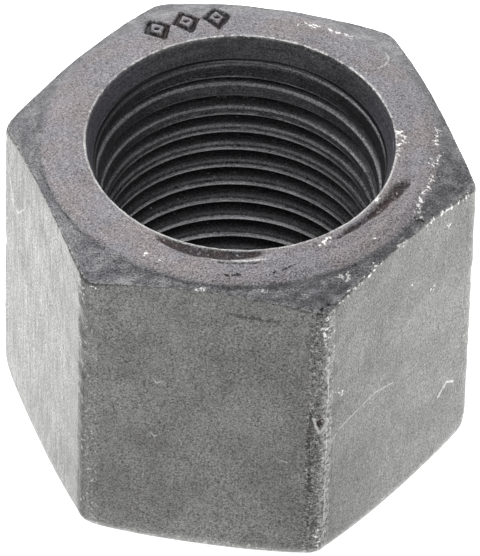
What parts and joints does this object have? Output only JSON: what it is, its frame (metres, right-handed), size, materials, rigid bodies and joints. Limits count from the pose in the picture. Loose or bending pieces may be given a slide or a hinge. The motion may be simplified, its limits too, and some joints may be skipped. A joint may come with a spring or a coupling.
{
  "type": "high hexagon nut",
  "caption": "High hexagon nut of dark heat-treated steel with a right-hand fine thread right through, turned and chamfered ends and a tapered mouth to the bore.",
  "frame": {"origin": "centre of the lower bearing face, on the thread axis", "axes": "+Z along the thread axis from the bearing face to the wide-mouthed end, +X through one corner of the hexagon, -Y square out of one wrench flat"},
  "size_m": [0.0308, 0.027, 0.0238],
  "materials": {
    "dark_steel": "heat-treated with its dark scale left on, worn bare and scratched along the edges"
  },
  "bodies": {
    "root": {"hex_nut": "dark_steel"}
  },
  "joints": []
}
